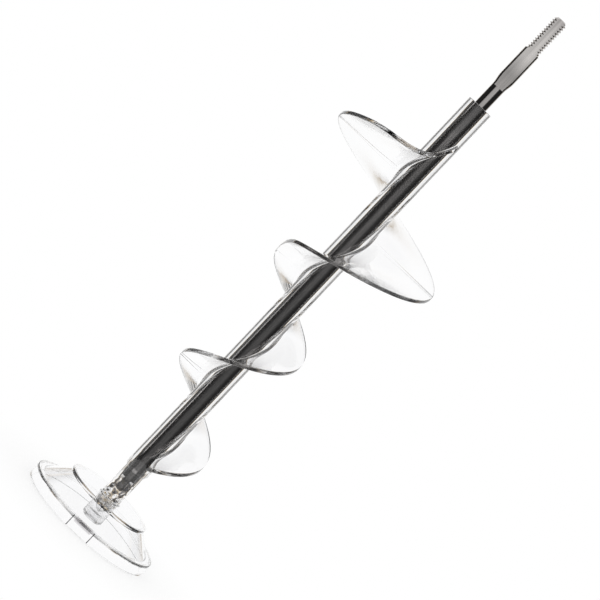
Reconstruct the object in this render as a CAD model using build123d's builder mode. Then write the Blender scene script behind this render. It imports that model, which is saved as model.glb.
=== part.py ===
from build123d import *
import os
from math import hypot

# Ice dispenser auger. A clear moulded body with a three-turn flight grips a steel
# drive shaft. It stands on its flanged foot, with Z along the shaft and the front at -Y.

# Foot flange, measured up from the rim's lower edge
rim_radius = 31.4
rim_height = 5.4
rim_wall = 1.6
rim_edge_chamfer = 0.4
ledge_width = 3.2
flange_wall = 1.3
plate_radius = 20.0
plate_edge_height = 1.6
plate_top_height = 14.4
boss_radius = 4.9
boss_bottom_height = 2.0
boss_edge_chamfer = 0.8
pivot_bore_radius = 2.5
pivot_bore_depth = 3.5
pivot_bore_point = 0.3
gate_flat_width = 11.2
gate_flat_depth = 0.9

# Sleeve around the shaft
stem_radius = 4.7
step_height = 29.5
step_chamfer_height = 1.5
sleeve_foot_radius = 5.55
sleeve_top_radius = 5.8
sleeve_top_height = 235.4

# Flight, with its turns counted downwards from where the helix crosses the front
flight_pitch = 57.64
flight_front_height = 208.5
flight_root_thickness = 2.3
flight_edge_thickness = 1.55
flight_root_flare = 1.1
flight_seat_depth = 1.0
flight_trim = 2.0
wide_radius = 39.4
narrow_radius_top = 20.2
narrow_radius_bottom = 19.4
lead_in_turn = -0.13
lead_in_angle = 45.0
lead_in_distance = 7.0
lead_in_corner_round = 7.0
set_back_radius = 20.5
set_back_arc_radius = 86.0
set_back_middle_y = -3.0
set_back_corner_round = 17.0
trailing_edge_x = 2.9

# Drive shaft
shaft_radius = 2.935
shaft_end_height = 19.6
shaft_end_chamfer = 0.5
tang_length = 6.0
tang_thickness = 2.7
neck_length = 10.4
coined_length = 19.8
coined_taper_length = 5.2
coined_half_width = 3.55
coined_half_depth = 3.0
flats_spacing = 4.0
thread_radius = 3.175
thread_length = 17.4
thread_chamfer = 1.3

# Heights and radii that follow from the sizes above
cone_top_height = plate_top_height - plate_edge_height
ceiling_height = plate_top_height - flange_wall
ledge_radius = rim_radius - ledge_width
ledge_underside = rim_height - flange_wall
pivot_bore_top_height = boss_bottom_height + pivot_bore_depth
step_top_height = step_height + step_chamfer_height
neck_top_height = sleeve_top_height + neck_length
coined_top_height = neck_top_height + coined_length

FRONT_ANGLE = -90.0
FIRST_BACK = 0.5
SET_BACK_LEFT = 1.25
NEXT_LEFT = 2.25
LAST_FRONT = 3.0


def flight_height(turn):
    """Height of the flight's middle surface at a turn."""
    return flight_front_height - flight_pitch * turn


def flight_half_thickness(radius):
    """The flight thins evenly from its root to the edge of its wide turn."""
    share = (radius - sleeve_foot_radius) / (wide_radius - sleeve_foot_radius)
    return (flight_root_thickness + share * (flight_edge_thickness - flight_root_thickness)) / 2


def narrow_radius(turn):
    """The narrow turns taper evenly from the set-back to the trailing edge."""
    share = (turn - SET_BACK_LEFT) / (LAST_FRONT - SET_BACK_LEFT)
    return narrow_radius_top + share * (narrow_radius_bottom - narrow_radius_top)


def flight_span(upper_turn, lower_turn, reach):
    """A stretch of flight with flared roots, swept up the helix between two turns."""
    angle = FRONT_ANGLE - 360 * lower_turn
    start = (0, 0, flight_height(lower_turn))
    climb = flight_pitch * (lower_turn - upper_turn)
    path = Helix(flight_pitch, climb, sleeve_foot_radius, center=start).rotate(Axis.Z, angle)
    outward = Vector(1, 0, 0).rotate(Axis.Z, angle)
    section_plane = Plane(start, x_dir=outward, z_dir=outward.cross(Vector(0, 0, 1)))
    seat_radius = sleeve_foot_radius - flight_seat_depth
    flare_radius = sleeve_foot_radius + flight_root_flare
    root_half = flight_half_thickness(sleeve_foot_radius) + flight_root_flare
    flare_half = flight_half_thickness(flare_radius)
    edge_half = flight_half_thickness(reach)
    with BuildPart() as span:
        with BuildSketch(section_plane):
            with BuildLine():
                Line((seat_radius, -root_half), (seat_radius, root_half))
                Line((reach, -edge_half), (reach, edge_half))
                for side in (1, -1):
                    root = (sleeve_foot_radius, side * root_half)
                    flank = (flare_radius, side * flare_half)
                    Line((seat_radius, side * root_half), root)
                    Line(root, flank)
                    Line(flank, (reach, side * edge_half))
            make_face()
        sweep(path=path, is_frenet=True)
    return span.part


def flange_inside_radius(height):
    """Radius of the cone's inner face, one wall below its outer face."""
    run = ledge_radius - plate_radius
    rise = cone_top_height - rim_height
    return ledge_radius - (flange_wall * hypot(run, rise) + (height - rim_height) * run) / rise


# The wide turn starts on a straight lead-in edge that leaves the sleeve at the right front
with BuildPart() as wide_start:
    add(flight_span(lead_in_turn, FIRST_BACK, wide_radius + flight_trim))
    with BuildSketch(Plane.XY.offset(flight_height(FIRST_BACK) - flight_pitch)) as lead_in_outline:
        Circle(wide_radius)
        with PolarLocations(lead_in_distance, 1, start_angle=FRONT_ANGLE + lead_in_angle):
            Rectangle(
                2 * wide_radius,
                4 * wide_radius,
                align=(Align.MIN, Align.CENTER),
                mode=Mode.SUBTRACT,
            )
        fillet(lead_in_outline.vertices().sort_by(Axis.Y)[0], lead_in_corner_round)
    extrude(amount=2 * flight_pitch, mode=Mode.INTERSECT)

# It ends on a shallow arc that sets the flight back to its narrow radius at the left
with BuildPart() as wide_end:
    add(flight_span(FIRST_BACK, SET_BACK_LEFT, wide_radius + flight_trim))
    with BuildSketch(Plane.XY.offset(flight_height(SET_BACK_LEFT) - flight_pitch)) as set_back_outline:
        Circle(wide_radius)
        with Locations((set_back_arc_radius - set_back_radius, set_back_middle_y)):
            Circle(set_back_arc_radius, mode=Mode.INTERSECT)
        fillet(set_back_outline.vertices().sort_by(Axis.Y)[0], set_back_corner_round)
    extrude(amount=2 * flight_pitch, mode=Mode.INTERSECT)

# The narrow turns taper a little and stop on an edge cut square to the front
with BuildPart() as narrow_turns:
    add(flight_span(SET_BACK_LEFT, NEXT_LEFT, narrow_radius_top + flight_trim))
    add(flight_span(NEXT_LEFT, LAST_FRONT, narrow_radius_top + flight_trim))
    with BuildSketch(Plane.XZ):
        with BuildLine():
            Polyline(
                (0, flight_height(FIRST_BACK)),
                (narrow_radius(FIRST_BACK), flight_height(FIRST_BACK)),
                (narrow_radius(LAST_FRONT + FIRST_BACK), flight_height(LAST_FRONT + FIRST_BACK)),
                (0, flight_height(LAST_FRONT + FIRST_BACK)),
                close=True,
            )
        make_face()
    revolve(axis=Axis.Z, mode=Mode.INTERSECT)
    with Locations((trailing_edge_x, 0, flight_height(LAST_FRONT))):
        Box(
            2 * wide_radius,
            2 * wide_radius,
            flight_pitch / 2,
            align=(Align.MAX, Align.MAX, Align.CENTER),
            mode=Mode.SUBTRACT,
        )

# Steel shaft: a tang at its lower end, round in the sleeve, coined flat above its neck, then
# threaded across the flats
with BuildPart() as drive_shaft:
    with BuildSketch(Plane.XY.offset(shaft_end_height)):
        Circle(shaft_radius)
    extrude(amount=neck_top_height - shaft_end_height)
    chamfer(drive_shaft.edges().sort_by(Axis.Z)[0], shaft_end_chamfer)
    with BuildSketch(Plane.XY.offset(shaft_end_height)):
        for side in (1, -1):
            with Locations((side * tang_thickness, 0)):
                Rectangle(tang_thickness, 4 * shaft_radius)
    extrude(amount=tang_length, mode=Mode.SUBTRACT)
    with BuildSketch(Plane.XY.offset(neck_top_height)):
        Circle(shaft_radius)
    with BuildSketch(Plane.XY.offset(neck_top_height + coined_taper_length)):
        Ellipse(coined_half_width, coined_half_depth)
    loft()
    with BuildSketch(Plane.XY.offset(neck_top_height + coined_taper_length)):
        Ellipse(coined_half_width, coined_half_depth)
    extrude(amount=coined_length - coined_taper_length)
    with BuildSketch(Plane.XY.offset(coined_top_height)):
        Circle(thread_radius)
    extrude(amount=thread_length)
    chamfer(drive_shaft.edges().sort_by(Axis.Z)[-1], thread_chamfer)
    with BuildSketch(Plane.XY.offset(neck_top_height)):
        for side in (1, -1):
            with Locations((0, side * flats_spacing)):
                Rectangle(4 * coined_half_width, flats_spacing)
    extrude(amount=coined_length + thread_length, mode=Mode.SUBTRACT)
drive_shaft.part.label = "drive_shaft"

# One clear moulding around the shaft: hollow flange, boss with a pivot bore, stem, sleeve and flight
with BuildPart() as auger_body:
    with BuildSketch(Plane.XZ) as body_section:
        with BuildLine():
            Polyline(
                (0, pivot_bore_top_height + pivot_bore_point),
                (pivot_bore_radius, pivot_bore_top_height),
                (pivot_bore_radius, boss_bottom_height),
                (boss_radius, boss_bottom_height),
                (boss_radius, ceiling_height),
                (flange_inside_radius(ceiling_height), ceiling_height),
                (flange_inside_radius(ledge_underside), ledge_underside),
                (rim_radius - rim_wall, ledge_underside),
                (rim_radius - rim_wall, 0),
                (rim_radius, 0),
                (rim_radius, rim_height),
                (ledge_radius, rim_height),
                (plate_radius, cone_top_height),
                (plate_radius, plate_top_height),
                (stem_radius, plate_top_height),
                (stem_radius, step_height),
                (sleeve_foot_radius, step_top_height),
                (sleeve_top_radius, sleeve_top_height),
                (0, sleeve_top_height),
                close=True,
            )
        make_face()
        rim_corner = (rim_radius, rim_height)
        chamfer(body_section.vertices().sort_by_distance(rim_corner)[0], rim_edge_chamfer)
        boss_corner = (boss_radius, boss_bottom_height)
        chamfer(body_section.vertices().sort_by_distance(boss_corner)[0], boss_edge_chamfer)
    revolve(axis=Axis.Z)
    with BuildSketch(Plane.XY):
        with Locations((0, gate_flat_depth - rim_radius)):
            Rectangle(gate_flat_width, rim_wall, align=(Align.CENTER, Align.MAX))
    extrude(amount=rim_height, mode=Mode.SUBTRACT)
    add(wide_start.part)
    add(wide_end.part)
    add(narrow_turns.part)
    add(drive_shaft.part, mode=Mode.SUBTRACT)
auger_body.part.label = "auger_body"

os.makedirs("parts", exist_ok=True)
export_step(auger_body.part, "parts/auger_body.step")
export_step(drive_shaft.part, "parts/drive_shaft.step")
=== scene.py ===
import bmesh
import bpy
from math import acos, asin, atan2, ceil, copysign, cos, degrees, floor, hypot, pi, radians, sin, sqrt
from mathutils import Matrix, Vector


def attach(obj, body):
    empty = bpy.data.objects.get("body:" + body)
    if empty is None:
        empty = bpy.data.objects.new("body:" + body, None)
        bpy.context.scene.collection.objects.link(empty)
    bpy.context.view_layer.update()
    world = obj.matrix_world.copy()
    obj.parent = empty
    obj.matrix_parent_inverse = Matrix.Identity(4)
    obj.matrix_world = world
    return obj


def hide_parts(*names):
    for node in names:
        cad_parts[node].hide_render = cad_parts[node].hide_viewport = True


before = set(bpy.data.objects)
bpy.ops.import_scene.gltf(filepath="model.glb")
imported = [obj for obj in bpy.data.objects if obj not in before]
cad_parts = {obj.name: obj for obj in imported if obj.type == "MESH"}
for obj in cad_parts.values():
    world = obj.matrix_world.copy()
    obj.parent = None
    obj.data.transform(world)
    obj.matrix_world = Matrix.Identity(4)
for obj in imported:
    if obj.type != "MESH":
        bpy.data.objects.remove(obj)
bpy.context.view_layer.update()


# Drive shaft: one drawn steel rod, round where the moulding grips it, with a flat tang at its
# hidden end. Above the sleeve it is coined flat on two sides, which spreads it, and its end
# is rolled with a coarse thread that the flats cut through.
MM = 0.001
shaft_radius = 2.935
shaft_end = 19.6
shaft_end_chamfer = 0.5
tang_top = 25.6
tang_half_width = 1.35
neck_top = 245.8
coined_full = 251.0
coined_top = 265.6
coined_half_width = 3.55
coined_half_depth = 3.0
flat_depth = 2.0
thread_radius = 3.175
thread_pitch = 1.27
thread_depth = 0.74
thread_steepness = 1.32
thread_root_flat = 0.1
thread_start = coined_top + 0.09
thread_rows = 190
shaft_top = 283.0
tip_chamfer = 1.3
edge_gap = 0.04
round_row_step = 9.0
coining_row_step = 0.4
flat_row_step = 2.0
shaft_columns = 168
shaft_crisp_angle = 34


def skin_mesh(name, vertices, faces, sharp_angle):
    """A closed mesh in metres from points in millimetres, with crisp edges above an angle."""
    mesh = bpy.data.meshes.new(name)
    mesh.from_pydata([(x * MM, y * MM, z * MM) for x, y, z in vertices], [], faces)
    shape = bmesh.new()
    shape.from_mesh(mesh)
    bmesh.ops.dissolve_degenerate(shape, dist=1e-8, edges=shape.edges)
    bmesh.ops.recalc_face_normals(shape, faces=shape.faces)
    shape.to_mesh(mesh)
    shape.free()
    mesh.shade_smooth()
    mesh.set_sharp_from_angle(angle=radians(sharp_angle))
    piece = bpy.data.objects.new(name, mesh)
    bpy.context.scene.collection.objects.link(piece)
    return piece


def thread_ridge(turn):
    """Height of the thread's ridge across one pitch, from 0 in the root to 1 on the crest."""
    share = turn - floor(turn)
    slope = abs(share - 0.5) * 2
    return min(1.0, max(0.0, (1.0 - slope) * thread_steepness - thread_root_flat))


def shaft_outline(angle, z):
    """Radius of the shaft at an angle and a height."""
    across = abs(sin(angle))
    if z <= neck_top:
        radius = shaft_radius - max(0.0, shaft_end + shaft_end_chamfer - z)
        return min(radius, tang_half_width / max(abs(cos(angle)), 1e-6)) if z < tang_top else radius
    if z <= coined_top:
        spread = min(1.0, (z - neck_top) / (coined_full - neck_top))
        spread = spread * spread * (3 - 2 * spread)
        wide = shaft_radius + spread * (coined_half_width - shaft_radius)
        deep = shaft_radius + spread * (coined_half_depth - shaft_radius)
        radius = wide * deep / hypot(deep * cos(angle), wide * sin(angle))
    else:
        run_in = min(1.0, (z - coined_top) / thread_pitch)
        ridge = thread_ridge((z - coined_top) / thread_pitch + angle / (2 * pi))
        radius = thread_radius - run_in * thread_depth * (1 - ridge)
        radius = min(radius, thread_radius - tip_chamfer + (shaft_top - z))
    if across > 1e-6:
        radius = min(radius, flat_depth / across)
    return radius


shaft_heights = [shaft_end, shaft_end + shaft_end_chamfer, tang_top - edge_gap, tang_top]
shaft_heights += [tang_top + round_row_step * step for step in range(1, 25)]
shaft_heights += [neck_top, neck_top + edge_gap]
shaft_heights += [neck_top + coining_row_step * step for step in range(1, 14)]
shaft_heights += [coined_full + flat_row_step * step for step in range(1, 8)]
shaft_heights += [coined_top, (2 * coined_top + thread_start) / 3]
shaft_heights += [
    thread_start + (shaft_top - thread_start) * step / thread_rows for step in range(thread_rows + 1)
]
shaft_heights.sort()
shaft_points = []
for z in shaft_heights:
    for column in range(shaft_columns):
        angle = 2 * pi * column / shaft_columns
        reach = shaft_outline(angle, z)
        shaft_points.append((reach * cos(angle), reach * sin(angle), z))
shaft_faces = [list(range(shaft_columns))]
for row in range(len(shaft_heights) - 1):
    for column in range(shaft_columns):
        beside = (column + 1) % shaft_columns
        low, high = row * shaft_columns, (row + 1) * shaft_columns
        shaft_faces.append((low + column, low + beside, high + beside, high + column))
top_row = (len(shaft_heights) - 1) * shaft_columns
shaft_faces.append([top_row + column for column in range(shaft_columns)])
shaft = skin_mesh("drive_shaft_rod", shaft_points, shaft_faces, shaft_crisp_angle)

grain_stretch = (900, 900, 25)
dark_grain = (0.56, 0.55, 0.54, 1)
bright_grain = (0.82, 0.8, 0.785, 1)
neck_painted_light = (0.62, 0.605, 0.6, 1)
tip_painted_light = (0.72, 0.7, 0.7, 1)
painted_light_between = ((0.2, 0.55), (0.45, 0.97), (0.75, 0.93))
drawn_roughness = 0.09
coined_roughness = 0.22
grain_roughness = 0.08
grain_height = 0.04
steel = bpy.data.materials.new("drawn_steel")
steel.use_nodes = True
nodes, links = steel.node_tree.nodes, steel.node_tree.links
surface = nodes["Principled BSDF"]
surface.inputs["Metallic"].default_value = 1.0
place = nodes.new("ShaderNodeTexCoord")
stretch = nodes.new("ShaderNodeMapping")
stretch.inputs["Scale"].default_value = grain_stretch
links.new(place.outputs["Object"], stretch.inputs["Vector"])
drawing_marks = nodes.new("ShaderNodeTexNoise")
drawing_marks.inputs["Scale"].default_value = 1.0
drawing_marks.inputs["Detail"].default_value = 4.0
links.new(stretch.outputs["Vector"], drawing_marks.inputs["Vector"])
steel_colour = nodes.new("ShaderNodeValToRGB")
steel_colour.color_ramp.elements[0].position = 0.3
steel_colour.color_ramp.elements[0].color = dark_grain
steel_colour.color_ramp.elements[1].position = 0.7
steel_colour.color_ramp.elements[1].color = bright_grain
links.new(drawing_marks.outputs["Fac"], steel_colour.inputs["Fac"])
height = nodes.new("ShaderNodeSeparateXYZ")
links.new(place.outputs["Object"], height.inputs["Vector"])
# Painted light along the shaft: its grey is multiplied down to painted shade on the rod, the neck and the
# foot of the flats, and up to a painted highlight over the upper flats and the thread, dimming again at
# the tip. It stands in for how the coined flats and the rod reflect the room.
along = nodes.new("ShaderNodeMapRange")
along.inputs["From Min"].default_value = neck_top * MM
along.inputs["From Max"].default_value = shaft_top * MM
links.new(height.outputs["Z"], along.inputs["Value"])
painted_light_along = nodes.new("ShaderNodeValToRGB")
painted_light_along.color_ramp.elements[0].color = neck_painted_light
painted_light_along.color_ramp.elements[1].color = tip_painted_light
for at, grey in painted_light_between:
    painted_light_along.color_ramp.elements.new(at).color = (grey, 0.985 * grey, 0.975 * grey, 1)
links.new(along.outputs["Result"], painted_light_along.inputs["Fac"])
grain_and_painted_light = nodes.new("ShaderNodeMix")
grain_and_painted_light.data_type = "RGBA"
grain_and_painted_light.blend_type = "MULTIPLY"
grain_and_painted_light.inputs["Factor"].default_value = 1.0
links.new(steel_colour.outputs["Color"], grain_and_painted_light.inputs["A"])
links.new(painted_light_along.outputs["Color"], grain_and_painted_light.inputs["B"])
links.new(grain_and_painted_light.outputs["Result"], surface.inputs["Base Color"])
steel_sheen = nodes.new("ShaderNodeMapRange")
steel_sheen.inputs["From Min"].default_value = (neck_top - 1.0) * MM
steel_sheen.inputs["From Max"].default_value = (neck_top + 1.0) * MM
steel_sheen.inputs["To Min"].default_value = drawn_roughness
steel_sheen.inputs["To Max"].default_value = coined_roughness
links.new(height.outputs["Z"], steel_sheen.inputs["Value"])
uneven_sheen = nodes.new("ShaderNodeMath")
uneven_sheen.operation = "MULTIPLY_ADD"
uneven_sheen.inputs[1].default_value = grain_roughness
links.new(drawing_marks.outputs["Fac"], uneven_sheen.inputs[0])
links.new(steel_sheen.outputs["Result"], uneven_sheen.inputs[2])
links.new(uneven_sheen.outputs["Value"], surface.inputs["Roughness"])
steel_relief = nodes.new("ShaderNodeBump")
steel_relief.inputs["Strength"].default_value = 0.05
steel_relief.inputs["Distance"].default_value = grain_height * MM
links.new(drawing_marks.outputs["Fac"], steel_relief.inputs["Height"])
links.new(steel_relief.outputs["Normal"], surface.inputs["Normal"])
shaft.data.materials.append(steel)
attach(shaft, "root")
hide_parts("drive_shaft")


# Auger body: one clear moulding around the shaft. A flight of about three turns winds down
# the sleeve, wide at first and set back to half its reach after one turn, and the sleeve
# steps down to a stem on a hollow flanged foot. The flight's roots are filleted.
flight_pitch = 57.64
flight_front = 208.5
root_half = 1.15
edge_half = 0.775
root_fillet = 1.4
edge_round = 0.28
wide_reach = 39.4
narrow_top = 20.2
narrow_bottom = 19.4
lead_in_turn = -0.13
lead_in_normal = -45.0
lead_in_distance = 7.0
lead_in_rounding = 7.0
set_back_start = 0.5
set_back_end = 1.25
flight_end = 3.0
set_back_reach = 20.5
set_back_arc = 86.0
set_back_y = -3.0
set_back_rounding = 17.0
trailing_edge_x = 2.9
skew_span = 0.3
sleeve_foot = 31.0
sleeve_foot_radius = 5.55
sleeve_top = 235.4
sleeve_top_radius = 5.8
shaft_gap = 0.05
loop_columns = 108


def turn_angle(turn):
    """Angle around the axis in degrees, at a turn counted down from the front."""
    return -90 - 360 * turn


def sleeve_radius(z):
    share = (z - sleeve_foot) / (sleeve_top - sleeve_foot)
    return sleeve_foot_radius + share * (sleeve_top_radius - sleeve_foot_radius)


def cut_disc_reach(angle, normal, distance, rounding):
    """Reach of the wide flight where a straight edge cuts it, with a rounded corner."""
    off = (angle - normal + 180) % 360 - 180
    side = degrees(acos((distance - rounding) / (wide_reach - rounding)))
    middle = wide_reach - rounding
    touch = degrees(atan2(middle * sin(radians(side)), distance))
    if abs(off) <= touch:
        return distance / cos(radians(off))
    if abs(off) >= side:
        return wide_reach
    lean = radians(abs(off) - side)
    return middle * cos(lean) + sqrt(rounding ** 2 - (middle * sin(lean)) ** 2)


def ring_reach(angle, centre, radius):
    """How far a ray from the axis goes to the far side of a circle."""
    along = centre[0] * cos(angle) + centre[1] * sin(angle)
    return along + sqrt(along ** 2 - centre[0] ** 2 - centre[1] ** 2 + radius ** 2)


def set_back_outline(angle):
    """Reach of the wide flight where a shallow arc sets it back, with a rounded corner."""
    arc_centre = (set_back_arc - set_back_reach, set_back_y)
    apart = hypot(*arc_centre)
    inner, outer = wide_reach - set_back_rounding, set_back_arc - set_back_rounding
    swing = acos((apart ** 2 + inner ** 2 - outer ** 2) / (2 * apart * inner))
    corner_angle = atan2(arc_centre[1], arc_centre[0]) - swing
    corner = (inner * cos(corner_angle), inner * sin(corner_angle))
    toward = atan2(corner[1] - arc_centre[1], corner[0] - arc_centre[0])
    touch = (arc_centre[0] + set_back_arc * cos(toward), arc_centre[1] + set_back_arc * sin(toward))
    off = (angle - corner_angle + pi) % (2 * pi) - pi
    touch_off = (atan2(touch[1], touch[0]) - corner_angle + pi) % (2 * pi) - pi
    if off >= 0:
        return wide_reach
    if off >= touch_off:
        return ring_reach(angle, corner, set_back_rounding)
    return ring_reach(angle, arc_centre, set_back_arc)


def flight_reach(turn):
    angle = turn_angle(turn)
    if turn <= set_back_start:
        return cut_disc_reach(angle, lead_in_normal, lead_in_distance, lead_in_rounding)
    if turn <= set_back_end:
        return min(wide_reach, set_back_outline(radians(angle)))
    share = (turn - set_back_end) / (flight_end - set_back_end)
    return narrow_top + share * (narrow_bottom - narrow_top)


def trailing_turn(radius):
    """The turn at which the flight's square-cut end lies, at a radius."""
    return flight_end - degrees(asin(trailing_edge_x / radius)) / 360


def half_thickness(radius):
    share = (radius - sleeve_foot_radius) / (wide_reach - sleeve_foot_radius)
    return root_half + share * (edge_half - root_half)


face_shares = (0.02, 0.1, 0.25, 0.4, 0.55, 0.7, 0.85, 0.95, 0.985, 1.0)
fillet_steps = 5
round_steps = 3
flare_limit = 0.75
last_turn = trailing_turn(sleeve_foot_radius)
skew_start = last_turn - skew_span
clear_ridge = 0.09
parting_ridge = 0.05
faint_ridge = 0.02
parting_turns = {0.25: parting_ridge, 0.75: clear_ridge, 1.25: faint_ridge}
parting_turns.update({1.75: faint_ridge, 2.25: parting_ridge, 2.75: faint_ridge})


def flight_section(turn):
    """Half a section of the flight, from its root outwards, as (radius, height off the middle)."""
    reach = flight_reach(turn)
    hub = sleeve_radius(flight_front - flight_pitch * turn)
    flare = min(root_fillet, flare_limit * (reach - hub))
    section = []
    for step in range(fillet_steps + 1):
        lean = pi / 2 * step / fillet_steps
        radius = hub + flare - flare * cos(lean)
        section.append((radius, half_thickness(radius) + flare - flare * sin(lean)))
    inner, outer = hub + flare, reach - edge_round
    ridge = parting_turns.get(turn, 0.0)
    for share in face_shares:
        radius = inner + (outer - inner) * share
        section.append((radius, half_thickness(radius) + ridge))
    for step in range(1, round_steps + 1):
        lean = pi / 2 * step / round_steps
        radius = outer + edge_round * sin(lean)
        section.append((radius, half_thickness(outer) - edge_round * (1 - cos(lean))))
    return section


def on_flight(turn, radius, height):
    """A point on the flight. The last rows lean so that the end lies in one flat cut."""
    lean = min(1.0, max(0.0, (turn - skew_start) / (last_turn - skew_start)))
    lean = lean * lean * (3 - 2 * lean)
    at = turn + lean * (trailing_turn(max(radius, sleeve_foot_radius)) - last_turn)
    angle = radians(turn_angle(at))
    return (radius * cos(angle), radius * sin(angle), flight_front - flight_pitch * at + height)


body_points = []
body_faces = []


def add_points(points):
    start = len(body_points)
    body_points.extend(points)
    return list(range(start, len(body_points)))


def join_rows(above, below, closed=True):
    """Faces between two rows of point numbers, leaving out those that have no area."""
    count = len(above)
    for column in range(count if closed else count - 1):
        beside = (column + 1) % count
        corners = [above[column], below[column], below[beside], above[beside]]
        corners = [c for i, c in enumerate(corners) if c != corners[i - 1]]
        if len(corners) > 2:
            body_faces.append(corners)


parting_half_width = 0.4 / 360
parting_clearance = 1.5 * parting_half_width
end_clearance = 0.5 / 360
corner_turns = ((0.04, 0.15), (0.98, 1.16))
corner_step = 0.8
plain_step = 2.6
flight_turns = []
turn = lead_in_turn
while turn < last_turn - end_clearance:
    if min(abs(turn - line) for line in parting_turns) > parting_clearance:
        flight_turns.append(turn)
    in_corner = any(first < turn < last for first, last in corner_turns)
    turn += (corner_step if in_corner else plain_step) / 360
for line in parting_turns:
    flight_turns += [line - parting_half_width, line, line + parting_half_width]
flight_turns.append(last_turn)
flight_turns.sort()

rows = []
for turn in flight_turns:
    half = flight_section(turn)
    root = half[0][1]
    middle = flight_front - flight_pitch * turn
    loop = []
    for column in range(1, loop_columns):
        share = column / loop_columns
        z = middle - root + 2 * root * share
        radius = sleeve_radius(z)
        angle = radians(turn_angle(turn) + 360 * share)
        loop.append((radius * cos(angle), radius * sin(angle), z))
    blade = [on_flight(turn, radius, height) for radius, height in half]
    blade += [on_flight(turn, radius, -height) for radius, height in reversed(half)]
    rows.append((add_points(loop), add_points(blade)))
for (loop_a, blade_a), (loop_b, blade_b) in zip(rows, rows[1:]):
    join_rows([blade_a[-1]] + loop_a + blade_a, [blade_b[-1]] + loop_b + blade_b, closed=False)


def end_ring(turn, row, ring_z):
    """Closes the flight's blunt end on the sleeve, and leads the sleeve on to a level ring."""
    loop, blade = row
    top, bottom = body_points[blade[0]], body_points[blade[-1]]
    stub = []
    for step in range(1, len(blade) - 1):
        z = top[2] + (bottom[2] - top[2]) * step / (len(blade) - 1)
        angle = radians(turn_angle(turn))
        stub.append((sleeve_radius(z) * cos(angle), sleeve_radius(z) * sin(angle), z))
    root_line = [blade[0]] + add_points(stub) + [blade[-1]]
    join_rows(root_line, blade, closed=False)
    ring = []
    for column in range(loop_columns):
        angle = radians(turn_angle(turn) + 360 * column / loop_columns)
        ring.append((sleeve_radius(ring_z) * cos(angle), sleeve_radius(ring_z) * sin(angle), ring_z))
    ring = add_points(ring)
    level = ring + [ring[0]] * len(blade)
    join_rows(level, [blade[-1]] + loop + root_line, closed=False)
    return ring


straight_run = 0.06
gate_half_width = 5.6
gate_flat_y = 30.5
gate_groove_half_angle = 0.36
gate_groove_depth = 0.24
rim_radius = 31.4
rim_height = 5.4
rim_inner = 29.8
rim_rounding = 0.35
rim_foot_rounding = 0.1
ledge_radius = 28.2
ledge_underside = 4.1
plate_radius = 20.0
plate_top = 14.4
plate_rounding = 0.15
cone_top = 12.8
ceiling = 12.4
cone_inner_low = 27.7
cone_inner_high = 18.5
boss_radius = 4.9
boss_bottom = 2.0
boss_rounding = 1.2
boss_fillet = 0.5
pivot_radius = 2.5
pivot_top = 5.5
pivot_point = 5.8
pivot_tip_radius = 0.5
stem_radius = 4.7
stem_fillet = 0.25
step_height = 29.5
step_flare = (0.25, 0.3)
step_drop = 0.2
pocket_bottom = 10.4
pocket_point = 6.6
pocket_tip_radius = 0.3
pocket_steps = 40
pocket_ease_steps = 6
lump_depth = 0.24
lump_height = 18.0
lump_fade = 3.0
lump_least = 0.1
bore_radius = shaft_radius + shaft_gap
mouth_rounding = 0.35
mouth_chamfer = 0.2
bore_row_step = 25.0
body_crisp_angle = 30


def turned_rows(turn, ring, profile):
    """Leads a ring of points on along a turned profile of (radius, height) pairs."""
    for radius, z in profile:
        lathe = []
        for column in range(loop_columns):
            angle = turn_angle(turn) + 360 * column / loop_columns
            lathe.append(rim_point(angle, radius, z))
        following = add_points(lathe)
        join_rows(ring, following)
        ring = following
    return ring


def rim_point(angle, radius, z):
    """A turned point, set back where the gate was cut off the front, with a groove at each side."""
    off = (angle + 90 + 180) % 360 - 180
    if radius > gate_flat_y and z < rim_height + 0.01:
        limit = degrees(asin(gate_half_width / radius))
        column = ceil((abs(off) - limit) * loop_columns / 360)
        if column in (0, 1, 2):
            off = copysign(limit + (column - 1) * gate_groove_half_angle, off)
        if column <= 0:
            return (radius * sin(radians(off)), -gate_flat_y, z)
        if column == 1:
            radius = gate_flat_y - gate_groove_depth
    return (radius * sin(radians(off)), -radius * cos(radians(off)), z)


def arc(centre_r, centre_z, radius, start, end, steps=5):
    """A rounded corner of a turned profile, with a short straight run before and after it."""
    points = []
    for step in range(steps + 1):
        lean = radians(start + (end - start) * step / steps)
        points.append((centre_r + radius * cos(lean), centre_z + radius * sin(lean)))
    for at, lean, way in ((0, start, -1), (-1, end, 1)):
        run = copysign(straight_run, end - start) * way
        beside = (points[at][0] - run * sin(radians(lean)), points[at][1] + run * cos(radians(lean)))
        points.insert(0 if at == 0 else len(points), beside)
    return points


def lumps(angle, z):
    """Lumps in the wall of the air pocket, slight near the shaft and strong below."""
    blobs = sin(2 * angle + 1.9 * z) * sin(1.3 * z + 0.6) + 0.6 * sin(5 * angle - 2.7 * z)
    strength = min(1.0, max(lump_least, (lump_height - z) / lump_fade))
    return 0.5 * sin(3 * angle + 0.35 * z) + blobs * strength


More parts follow.
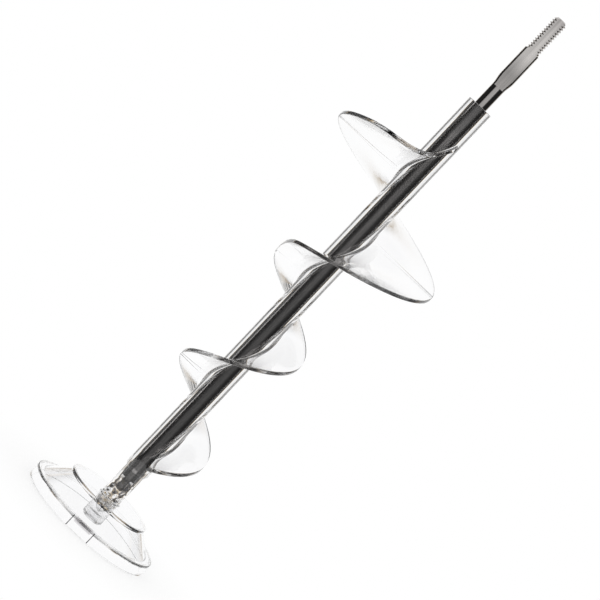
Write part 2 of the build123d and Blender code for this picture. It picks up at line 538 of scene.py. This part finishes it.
mouth_height = sleeve_top - mouth_rounding
top_ring = end_ring(lead_in_turn, rows[0], mouth_height)
sleeve_mouth = arc(sleeve_top_radius - mouth_rounding, mouth_height, mouth_rounding, 0, 90, 4)[2:]
sleeve_mouth += [(bore_radius + mouth_chamfer, sleeve_top), (bore_radius, sleeve_top - mouth_chamfer)]
sleeve_mouth += [(bore_radius, sleeve_top - bore_row_step * step) for step in range(1, 9)]
bore_ring = turned_rows(lead_in_turn, top_ring, sleeve_mouth)
for step in range(pocket_steps + 1):
    z = tang_top + (pocket_bottom - tang_top) * step / pocket_steps
    ring = []
    for column in range(loop_columns):
        angle = radians(turn_angle(lead_in_turn) + 360 * column / loop_columns)
        reach = bore_radius + lump_depth * min(1.0, step / pocket_ease_steps) * lumps(angle, z)
        ring.append((reach * cos(angle), reach * sin(angle), z))
    ring = add_points(ring)
    join_rows(bore_ring, ring)
    bore_ring = ring
body_faces.append(turned_rows(lead_in_turn, bore_ring, [(pocket_tip_radius, pocket_point)]))

foot_ring = end_ring(last_turn, rows[-1], sleeve_foot)
foot = [(stem_radius + step_flare[0], step_height + step_flare[1])]
foot += [(stem_radius, step_height - step_drop)]
foot += arc(stem_radius + stem_fillet, plate_top + stem_fillet, stem_fillet, 180, 270)
foot += arc(plate_radius - plate_rounding, plate_top - plate_rounding, plate_rounding, 90, 0, 2)
foot += [(plate_radius, cone_top)]
foot += [(ledge_radius, rim_height)]
foot += arc(rim_radius - rim_rounding, rim_height - rim_rounding, rim_rounding, 90, 0, 4)
foot += arc(rim_radius - rim_foot_rounding, rim_foot_rounding, rim_foot_rounding, 0, -90, 2)
foot += [(rim_inner, 0.0), (rim_inner, ledge_underside), (cone_inner_low, ledge_underside)]
foot += [(cone_inner_high, ceiling)]
foot += arc(boss_radius + boss_fillet, ceiling - boss_fillet, boss_fillet, 90, 180)
foot += arc(boss_radius - boss_rounding, boss_bottom + boss_rounding, boss_rounding, 0, -90)
foot += [(pivot_radius, boss_bottom), (pivot_radius, pivot_top)]
foot += [(pivot_tip_radius, pivot_point)]
body_faces.append(turned_rows(last_turn, foot_ring, foot))
body = skin_mesh("auger_body_moulding", body_points, body_faces, body_crisp_angle)

hazy_tint = (0.985, 0.985, 0.995, 1)
clear_tint = (1.0, 1.0, 1.0, 1)
dark_mottle = (0.03, 0.03, 0.035, 1)
amber_mottle = (0.55, 0.43, 0.27, 1)
mottle_stops = (0.46, 0.51, 0.56)
pocket_mask_radius = 3.6
pocket_mask_top = (26.0, 24.0)
pocket_mask_bottom = 6.2
scar_painted_shade = (0.5, 0.48, 0.5, 1)
scar_roughness = 0.35
scar_half_width = (4.5, 4.0)
scar_front = (-30.3, -30.45)
scar_lower_edge = (3.1, 3.7)
scar_upper_edge = (6.5, 6.0)
least_roughness = 0.01
most_roughness = 0.03
frosted_boss_top = (9.5, 7.5)
frosted_boss_radius = (7.0, 6.0)
frosted_roughness = 0.25
plastic = bpy.data.materials.new("clear_moulded_plastic")
plastic.use_nodes = True
nodes, links = plastic.node_tree.nodes, plastic.node_tree.links
surface = nodes["Principled BSDF"]
surface.inputs["Transmission Weight"].default_value = 1.0
surface.inputs["IOR"].default_value = 1.585
place = nodes.new("ShaderNodeTexCoord")
mould_haze = nodes.new("ShaderNodeTexNoise")
mould_haze.inputs["Scale"].default_value = 140.0
mould_haze.inputs["Detail"].default_value = 3.0
links.new(place.outputs["Object"], mould_haze.inputs["Vector"])
plastic_tint = nodes.new("ShaderNodeValToRGB")
plastic_tint.color_ramp.elements[0].color = hazy_tint
plastic_tint.color_ramp.elements[1].color = clear_tint
links.new(mould_haze.outputs["Fac"], plastic_tint.inputs["Fac"])
pocket_mottle = nodes.new("ShaderNodeTexNoise")
pocket_mottle.inputs["Scale"].default_value = 300.0
pocket_mottle.inputs["Detail"].default_value = 2.0
links.new(place.outputs["Object"], pocket_mottle.inputs["Vector"])
mottle_colour = nodes.new("ShaderNodeValToRGB")
mottle_colour.color_ramp.elements[0].position = mottle_stops[0]
mottle_colour.color_ramp.elements[0].color = dark_mottle
mottle_colour.color_ramp.elements[1].position = mottle_stops[2]
mottle_colour.color_ramp.elements[1].color = clear_tint
mottle_colour.color_ramp.elements.new(mottle_stops[1]).color = amber_mottle
links.new(pocket_mottle.outputs["Fac"], mottle_colour.inputs["Fac"])
away = nodes.new("ShaderNodeSeparateXYZ")
links.new(place.outputs["Object"], away.inputs["Vector"])
level = nodes.new("ShaderNodeCombineXYZ")
links.new(away.outputs["X"], level.inputs["X"])
links.new(away.outputs["Y"], level.inputs["Y"])
span = nodes.new("ShaderNodeVectorMath")
span.operation = "LENGTH"
links.new(level.outputs["Vector"], span.inputs[0])


def compared(operation, value, limit):
    """A mask by whether a length is under or over a limit."""
    mask = nodes.new("ShaderNodeMath")
    mask.operation = operation
    mask.inputs[1].default_value = limit * MM
    links.new(value, mask.inputs[0])
    return mask.outputs["Value"]


def faded(value, none_at, full_at, most=1.0):
    """A mask that rises evenly from nothing between two lengths."""
    mask = nodes.new("ShaderNodeMapRange")
    mask.inputs["From Min"].default_value = none_at * MM
    mask.inputs["From Max"].default_value = full_at * MM
    mask.inputs["To Max"].default_value = most
    links.new(value, mask.inputs["Value"])
    return mask.outputs["Result"]


def overlap(first, second):
    """A mask that holds only where two masks do."""
    both = nodes.new("ShaderNodeMath")
    both.operation = "MULTIPLY"
    links.new(first, both.inputs[0])
    links.new(second, both.inputs[1])
    return both.outputs["Value"]


# The wall of the air pocket under the shaft is mottled dark and amber
in_pocket = compared("LESS_THAN", span.outputs["Value"], pocket_mask_radius)
in_pocket = overlap(in_pocket, faded(away.outputs["Z"], *pocket_mask_top))
in_pocket = overlap(in_pocket, compared("GREATER_THAN", away.outputs["Z"], pocket_mask_bottom))
clear_colour = nodes.new("ShaderNodeMix")
clear_colour.data_type = "RGBA"
links.new(in_pocket, clear_colour.inputs["Factor"])
links.new(plastic_tint.outputs["Color"], clear_colour.inputs["A"])
links.new(mottle_colour.outputs["Color"], clear_colour.inputs["B"])
# The upper edge of the flat where the gate was cut off is left rough, and its grey is painted shade for
# the flat's darker reflection
across_gate = nodes.new("ShaderNodeMath")
across_gate.operation = "ABSOLUTE"
links.new(away.outputs["X"], across_gate.inputs[0])
gate_scar_and_painted_shade = faded(across_gate.outputs["Value"], *scar_half_width)
gate_scar_and_painted_shade = overlap(gate_scar_and_painted_shade, faded(away.outputs["Y"], *scar_front))
gate_scar_and_painted_shade = overlap(gate_scar_and_painted_shade, faded(away.outputs["Z"], *scar_lower_edge))
gate_scar_and_painted_shade = overlap(gate_scar_and_painted_shade, faded(away.outputs["Z"], *scar_upper_edge))
painted_scar_shade = nodes.new("ShaderNodeMix")
painted_scar_shade.data_type = "RGBA"
painted_scar_shade.inputs["B"].default_value = scar_painted_shade
links.new(gate_scar_and_painted_shade, painted_scar_shade.inputs["Factor"])
links.new(clear_colour.outputs["Result"], painted_scar_shade.inputs["A"])
links.new(painted_scar_shade.outputs["Result"], surface.inputs["Base Color"])
# The moulding is polished, apart from the frosted lower end of its boss
polish = nodes.new("ShaderNodeMapRange")
polish.inputs["To Min"].default_value = least_roughness
polish.inputs["To Max"].default_value = most_roughness
links.new(mould_haze.outputs["Fac"], polish.inputs["Value"])
frost = nodes.new("ShaderNodeMath")
frost.operation = "MULTIPLY_ADD"
links.new(faded(away.outputs["Z"], *frosted_boss_top), frost.inputs[0])
links.new(faded(span.outputs["Value"], *frosted_boss_radius, frosted_roughness), frost.inputs[1])
links.new(polish.outputs["Result"], frost.inputs[2])
rough_cut = nodes.new("ShaderNodeMath")
rough_cut.operation = "MULTIPLY_ADD"
rough_cut.inputs[1].default_value = scar_roughness
links.new(gate_scar_and_painted_shade, rough_cut.inputs[0])
links.new(frost.outputs["Value"], rough_cut.inputs[2])
links.new(rough_cut.outputs["Value"], surface.inputs["Roughness"])
body.data.materials.append(plastic)
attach(body, "root")
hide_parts("auger_body")


# Studio: a plain pale paper floor that keeps a faint shadow under the foot, in a white room.
# The camera sees plain white. Steel and clear plastic see it as a bright window behind the
# part with dark flags beside it, which draw the edges of the moulding.
floor_radius = 0.075
floor_drop = 0.0005
paper_white = (0.9, 0.9, 0.9, 1)
shadow_core = 0.03
shadow_end = 0.07
white_over_core = 0.8
white_off_part = 0.95
floor_mesh = bpy.data.meshes.new("studio_floor")
floor_shape = bmesh.new()
bmesh.ops.create_circle(floor_shape, cap_ends=True, radius=floor_radius, segments=96)
floor_shape.to_mesh(floor_mesh)
floor_shape.free()
studio_floor = bpy.data.objects.new("studio_floor", floor_mesh)
studio_floor.location.z = -floor_drop
bpy.context.scene.collection.objects.link(studio_floor)
paper = bpy.data.materials.new("floor_paper")
paper.use_nodes = True
nodes, links = paper.node_tree.nodes, paper.node_tree.links
surface = nodes["Principled BSDF"]
surface.inputs["Base Color"].default_value = paper_white
surface.inputs["Roughness"].default_value = 0.9
seen = nodes.new("ShaderNodeLightPath")
white = nodes.new("ShaderNodeEmission")
white.inputs["Strength"].default_value = 1.0
mix = nodes.new("ShaderNodeMixShader")
through = nodes.new("ShaderNodeMath")
through.operation = "MULTIPLY_ADD"
through.use_clamp = True
through.inputs[1].default_value = white_off_part
off_part = nodes.new("ShaderNodeMath")
off_part.operation = "MAXIMUM"
links.new(seen.outputs["Is Transmission Ray"], off_part.inputs[0])
links.new(seen.outputs["Is Glossy Ray"], off_part.inputs[1])
links.new(off_part.outputs["Value"], through.inputs[0])
place = nodes.new("ShaderNodeTexCoord")
from_axis = nodes.new("ShaderNodeVectorMath")
from_axis.operation = "LENGTH"
links.new(place.outputs["Object"], from_axis.inputs[0])
past_shadow = nodes.new("ShaderNodeMapRange")
past_shadow.inputs["From Min"].default_value = shadow_core
past_shadow.inputs["From Max"].default_value = shadow_end
past_shadow.inputs["To Min"].default_value = white_over_core
links.new(from_axis.outputs["Value"], past_shadow.inputs["Value"])
links.new(overlap(seen.outputs["Is Camera Ray"], past_shadow.outputs["Result"]), through.inputs[2])
links.new(through.outputs["Value"], mix.inputs["Fac"])
links.new(surface.outputs["BSDF"], mix.inputs[1])
links.new(white.outputs["Emission"], mix.inputs[2])
links.new(mix.outputs["Shader"], nodes["Material Output"].inputs["Surface"])
floor_mesh.materials.append(paper)

world = bpy.data.worlds.new("studio_room")
bpy.context.scene.world = world
world.use_nodes = True
nodes, links = world.node_tree.nodes, world.node_tree.links
background = nodes["Background"]
direction = nodes.new("ShaderNodeTexCoord")
parts = nodes.new("ShaderNodeSeparateXYZ")
links.new(direction.outputs["Generated"], parts.inputs["Vector"])
bearing = nodes.new("ShaderNodeMath")
bearing.operation = "ARCTAN2"
links.new(parts.outputs["X"], bearing.inputs[0])
links.new(parts.outputs["Y"], bearing.inputs[1])


def light_ramp(value, low, high, stops):
    """Light along a measured value, from pairs of that value and a colour or a grey level."""
    share = nodes.new("ShaderNodeMapRange")
    share.inputs["From Min"].default_value = low
    share.inputs["From Max"].default_value = high
    links.new(value, share.inputs["Value"])
    ramp = nodes.new("ShaderNodeValToRGB")
    elements = ramp.color_ramp.elements
    elements[0].position, elements[1].position = 0.0, 1.0
    for at, light in stops:
        if low < at < high:
            element = elements.new((at - low) / (high - low))
        else:
            element = elements[0] if at == low else elements[len(elements) - 1]
        element.color = (*light, 1) if isinstance(light, tuple) else (light, light, light, 1)
    links.new(share.outputs["Result"], ramp.inputs["Fac"])
    return ramp.outputs["Color"]


def blended(share, first, second):
    """One light or the other, by a share from 0 to 1."""
    mix = nodes.new("ShaderNodeMix")
    mix.data_type = "RGBA"
    for light, socket in ((first, mix.inputs["A"]), (second, mix.inputs["B"])):
        if isinstance(light, tuple):
            socket.default_value = light
        else:
            links.new(light, socket)
    links.new(share, mix.inputs["Factor"])
    return mix.outputs["Result"]


def by_height(stops):
    """Light by the rise of a direction, from -1 straight down to 1 straight up."""
    return light_ramp(parts.outputs["Z"], -1.0, 1.0, stops)


def by_bearing(stops):
    """Light by bearing, in radians from straight behind the part and positive to the right."""
    return light_ramp(bearing.outputs["Value"], -pi, pi, stops)


def wall_light(left_edge, flag, strip, behind):
    """Light around the walls: a white window behind the part, flags at its sides, and the rest."""
    return by_bearing([
        (-pi, behind), (-2.7, behind), (-2.4, flag), (-1.6, flag),
        (-1.5, strip), (-0.95, strip), (-0.9, flag),
        (left_edge - 0.11, flag), (left_edge - 0.05, warm_edge), (left_edge, 1.0),
        (0.8, 1.0), (0.85, warm_edge), (0.92, flag),
        (2.4, flag), (2.7, behind), (pi, behind),
    ])


# What shines off a surface sees a half-lit room behind the camera. What turns inside the clear
# plastic sees that side dark, and after four surfaces a dark ceiling too. Low down, the left
# flag stands closer to the window, and deep light also finds a bright slit beside it.
plain_white = (1, 1, 1, 1)
warm_edge = (0.85, 0.6, 0.28)
dark_amber = (0.24, 0.19, 0.13)
amber = (0.42, 0.34, 0.25)
pale_amber = (0.7, 0.66, 0.6)
far_left = -0.61
near_left = -0.45
wall_heights = by_height([(-1.0, 0.0), (-0.75, 0.0), (-0.5, 1.0), (0.5, 1.0), (0.7, 0.0), (1.0, 0.0)])
deep_heights = by_height([(-1.0, 0.0), (-0.45, 0.0), (-0.3, 1.0), (0.2, 1.0), (0.35, 0.0), (1.0, 0.0)])
floor_level = by_height([(-1.0, 1.0), (-0.197, 1.0), (-0.187, 0.0), (1.0, 0.0)])
low_down = by_height([(-1.0, 1.0), (-0.09, 1.0), (-0.05, 0.0), (1.0, 0.0)])
high_up = by_height([(-1.0, 0.0), (0.09, 0.0), (0.14, 1.0), (1.0, 1.0)])
through_ceiling = by_height([(-1.0, 0.9), (-0.3, 1.0), (0.6, 1.0), (0.82, 0.5), (1.0, 0.4)])
deep_ceiling = by_height([(-1.0, 0.5), (-0.3, 0.3), (0.3, 0.15), (1.0, 0.08)])
upper_walls = by_bearing([
    (-pi, 0.1), (-0.56, 0.05), (-0.5, dark_amber), (-0.3, amber), (-0.16, pale_amber), (-0.08, 0.9),
    (0.08, 0.9), (0.16, pale_amber), (0.3, amber), (0.5, dark_amber), (0.56, 0.05), (pi, 0.1),
])
surface_room = blended(wall_heights, plain_white, wall_light(far_left, flag=0.03, strip=0.03, behind=0.42))
through_walls = blended(
    low_down,
    wall_light(far_left, flag=0.04, strip=0.04, behind=0.1),
    wall_light(near_left, flag=0.04, strip=0.04, behind=0.1),
)
through_walls = blended(floor_level, blended(high_up, through_walls, upper_walls), upper_walls)
through_room = blended(wall_heights, through_ceiling, through_walls)
deep_walls = blended(
    low_down,
    wall_light(far_left, flag=0.04, strip=0.04, behind=0.17),
    wall_light(near_left, flag=0.03, strip=1.0, behind=0.1),
)
deep_room = blended(deep_heights, deep_ceiling, deep_walls)

# What goes through the plastic without turning inside it sees white, with grey flags far out to
# the sides that draw the edges of the sleeve
flag_grey = 0.32
clear_heights = by_height([
    (-1.0, 0.0), (-0.235, 0.0), (-0.222, 1.0), (0.1, 1.0), (0.13, 0.0), (1.0, 0.0),
])
side_flags = by_bearing([
    (-pi, 1.0), (-2.1, 1.0), (-2.0, flag_grey), (-1.75, flag_grey), (-1.68, 1.0),
    (-1.46, 1.0), (-1.39, flag_grey), (-0.95, flag_grey), (-0.87, 1.0),
    (0.87, 1.0), (0.95, flag_grey), (1.39, flag_grey), (1.46, 1.0),
    (1.68, 1.0), (1.75, flag_grey), (2.0, flag_grey), (2.1, 1.0), (pi, 1.0),
])
clear_room = blended(clear_heights, plain_white, side_flags)
seen = nodes.new("ShaderNodeLightPath")
first_surface = 0.5
fourth_surface = 3.5
first_reflection = 0.5
straight = nodes.new("ShaderNodeMath")
straight.operation = "LESS_THAN"
straight.inputs[1].default_value = first_reflection
links.new(seen.outputs["Glossy Depth"], straight.inputs[0])
through_room = blended(straight.outputs["Value"], through_room, clear_room)
deep_room = blended(straight.outputs["Value"], deep_room, clear_room)
room = surface_room
for least_depth, deeper_room in ((first_surface, through_room), (fourth_surface, deep_room)):
    deep = nodes.new("ShaderNodeMath")
    deep.operation = "GREATER_THAN"
    deep.inputs[1].default_value = least_depth
    links.new(seen.outputs["Transmission Depth"], deep.inputs[0])
    room = blended(deep.outputs["Value"], room, deeper_room)
for ray in ("Is Diffuse Ray", "Is Camera Ray"):
    room = blended(seen.outputs[ray], room, plain_white)
links.new(room, background.inputs["Color"])

softbox_place = Vector((-0.12, -1.4, 0.52))
softbox_aim = Vector((0, 0, 0.2))
lamp = bpy.data.lights.new("softbox_front", "AREA")
lamp.shape = "RECTANGLE"
lamp.size = 2.0
lamp.size_y = 0.6
lamp.energy = 1.7
softbox = bpy.data.objects.new("softbox_front", lamp)
softbox.location = softbox_place
softbox.rotation_euler = (softbox_aim - softbox_place).to_track_quat("-Z", "Y").to_euler()
bpy.context.scene.collection.objects.link(softbox)


# Camera: a long lens almost level with the part, rolled so that the auger leans to the right.
# Light turns many times inside the clear walls before it gets out, so it may bounce often.
most_bounces = 24
camera = bpy.data.cameras.new("camera")
camera.sensor_width = 36.0
camera.lens = 147.32
camera_holder = bpy.data.objects.new("camera", camera)
camera_distance = 1.00426
camera_rise = radians(5.104)
camera_roll = radians(43.448)
aim_point = Vector((0.000823, 0.0, 0.12783))
camera_place = aim_point + camera_distance * Vector((0, -cos(camera_rise), sin(camera_rise)))
turned = Matrix.Rotation(pi / 2 - camera_rise, 4, "X") @ Matrix.Rotation(camera_roll, 4, "Z")
camera_holder.matrix_world = Matrix.Translation(camera_place) @ turned
bpy.context.scene.collection.objects.link(camera_holder)
bpy.context.scene.camera = camera_holder
bpy.context.scene.view_settings.view_transform = "Standard"
bpy.context.scene.cycles.max_bounces = most_bounces
bpy.context.scene.cycles.glossy_bounces = most_bounces
bpy.context.scene.cycles.transmission_bounces = most_bounces
